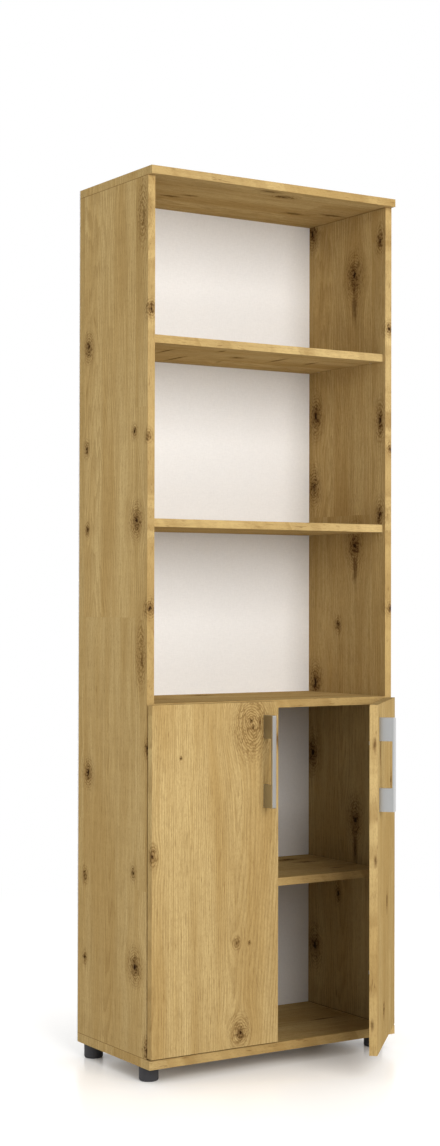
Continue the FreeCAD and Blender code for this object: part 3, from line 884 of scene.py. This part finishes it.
class BOOKCASE_OT_pins(bpy.types.Operator):
    """Model the shelf pins and the nails of the back."""

    bl_idname = "bookcase.pins"
    bl_label = "Shelf pins and nails"

    def execute(self, context):
        sizes = context.scene.fitting_sizes
        pin = start_rod("pin_master", 24, sizes.pin_radius, sizes.pin_length)
        round_rim(0, sizes.pin_rim, 3)
        round_rim(sizes.pin_length, sizes.pin_rim, 3)
        end_piece(pin)
        for shelf in ("upper", "lower", "cabinet"):
            low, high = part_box(shelf + "_shelf_pins")
            level = (low.z + high.z) / 2
            places = []
            for along in (low.y + sizes.pin_radius, high.y - sizes.pin_radius):
                places.append(facing((low.x, along, level), (1, 0, 0)))
                places.append(facing((high.x, along, level), (-1, 0, 0)))
            set_out(pin, shelf + "_round_pins", places, "zinc_steel", "carcass", shelf + "_shelf_pins")
        nail = start_rod("nail_master", 20, sizes.nail_radius, sizes.nail_rise)
        round_rim(sizes.nail_rise, sizes.nail_rim, 2)
        add_shank(sizes.nail_shank, sizes.nail_length)
        end_piece(nail)
        low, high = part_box("back_nails")
        rear = high.y - sizes.nail_rise
        spots = []
        for across in (low.x + sizes.nail_radius, high.x - sizes.nail_radius):
            spots += [(across, rear, level) for level in SIDE_NAIL_LEVELS]
        spots += [(0, rear, level) for level in BOARD_NAIL_LEVELS]
        places = [facing(spot, (0, 1, 0)) for spot in spots]
        set_out(nail, "back_nail_heads", places, "zinc_steel", "carcass", "back_nails")
        drop(pin, nail)
        return {"FINISHED"}


class BOOKCASE_OT_studio(bpy.types.Operator):
    """Add the floor, the lamps, the sky and the camera."""

    bl_idname = "bookcase.studio"
    bl_label = "Studio"

    def execute(self, context):
        look = context.scene.studio_look
        self.add_floor(look)
        self.add_sky(context.scene, look)
        for name, (size, place, target) in LAMPS.items():
            self.add_lamp(name + "_lamp", getattr(look, name), size, place, target)
        self.add_camera(context.scene, look)
        context.scene.view_settings.view_transform = "Standard"
        return {"FINISHED"}

    def add_floor(self, look):
        bpy.ops.object.select_all(action="DESELECT")
        bpy.ops.mesh.primitive_plane_add(size=FLOOR_WIDTH, location=(0, 0, 0))
        floor = bpy.context.object
        floor.name = "floor"
        paint = Paint("floor_gloss")
        x, y, z = paint.place()
        seen = paint.seen()
        far = (x * x + y * y).root().rise(FADE_START, FADE_END)
        # Painted shadow: the floor's glow is dimmed by ambient occlusion, so it is darker under and round the
        # bookcase.
        unshadowed_share = paint.node(
            "ShaderNodeAmbientOcclusion", {"samples": 16}, {"Distance": SHADOW_REACH}, "AO")
        bounce = paint.dim(look.floor, BOUNCE + seen * (1 - BOUNCE))
        lit = paint.node("ShaderNodeBsdfPrincipled", {}, {
            "Base Color": bounce, "Roughness": 0.22, "Specular IOR Level": 0.35,
        })
        glow = paint.node("ShaderNodeEmission", {}, {
            "Color": rgba(GLOW_COLOUR), "Strength": unshadowed_share * seen * GLOW,
        })
        near = paint.node("ShaderNodeAddShader", {}, {0: lit, 1: glow})
        white = paint.node("ShaderNodeEmission", {}, {"Strength": 1.0})
        whole = paint.node("ShaderNodeMixShader", {}, {0: far * seen, 1: near, 2: white})
        below = paint.node("ShaderNodeNewGeometry", output="Backfacing")
        clear = paint.node("ShaderNodeBsdfTransparent")
        sided = paint.node("ShaderNodeMixShader", {}, {0: below, 1: whole, 2: clear})
        paint.node("ShaderNodeOutputMaterial", {}, {"Surface": sided})
        floor.data.materials.append(paint.owner)

    def add_sky(self, scene, look):
        scene.world = bpy.data.worlds.new("studio_sky")
        paint = Paint("studio_sky", scene.world)
        level = look.sky + paint.seen() * (1 - look.sky)
        back = paint.node("ShaderNodeBackground", {}, {"Color": rgba((1, 1, 1)), "Strength": level})
        paint.node("ShaderNodeOutputWorld", {}, {"Surface": back})

    def add_lamp(self, name, power, size, place, target):
        data = bpy.data.lights.new(name, "AREA")
        data.energy = power
        data.size = size
        data.color = LAMP_COLOUR
        lamp = bpy.data.objects.new(name, data)
        bpy.context.scene.collection.objects.link(lamp)
        lamp.location = place
        lamp.visible_glossy = False
        aim = Vector(target) - Vector(place)
        lamp.rotation_euler = aim.to_track_quat("-Z", "Y").to_euler()

    def add_camera(self, scene, look):
        data = bpy.data.cameras.new("photo_camera")
        data.sensor_width = 36
        data.lens = look.lens
        camera = bpy.data.objects.new("photo_camera", data)
        scene.collection.objects.link(camera)
        turn = Matrix.Rotation(-look.yaw, 4, "Z") @ Matrix.Rotation(math.pi / 2 + look.pitch, 4, "X")
        turn = turn @ Matrix.Rotation(look.roll, 4, "Z")
        camera.matrix_world = Matrix.Translation(Vector(look.eye)) @ turn
        scene.camera = camera


class BOOKCASE_PT_panel(bpy.types.Panel):
    """The steps of the bookcase."""

    bl_idname = "BOOKCASE_PT_panel"
    bl_label = "Oak bookcase"
    bl_space_type = "VIEW_3D"
    bl_region_type = "UI"
    bl_category = "Bookcase"

    def draw(self, context):
        for step in STEPS:
            self.layout.operator(step.bl_idname)


STEPS = (
    BOOKCASE_OT_boards, BOOKCASE_OT_back, BOOKCASE_OT_handles, BOOKCASE_OT_fittings,
    BOOKCASE_OT_feet, BOOKCASE_OT_screws, BOOKCASE_OT_pins, BOOKCASE_OT_studio,
)
LOOKS = {
    "oak_look": OakLook, "fitting_look": FittingLook, "fitting_sizes": FittingSizes,
    "studio_look": StudioLook,
}


def register():
    for item in (*LOOKS.values(), *STEPS, BOOKCASE_PT_panel):
        bpy.utils.register_class(item)
    for name, look in LOOKS.items():
        setattr(bpy.types.Scene, name, PointerProperty(type=look))


def unregister():
    for name in LOOKS:
        delattr(bpy.types.Scene, name)
    for item in reversed((*LOOKS.values(), *STEPS, BOOKCASE_PT_panel)):
        bpy.utils.unregister_class(item)


def main():
    register()
    bpy.ops.bookcase.boards()
    bpy.ops.bookcase.back()
    bpy.ops.bookcase.handles()
    bpy.ops.bookcase.fittings()
    bpy.ops.bookcase.feet()
    bpy.ops.bookcase.screws()
    bpy.ops.bookcase.pins()
    bpy.ops.bookcase.studio()


if __name__ == "__main__":
    main()
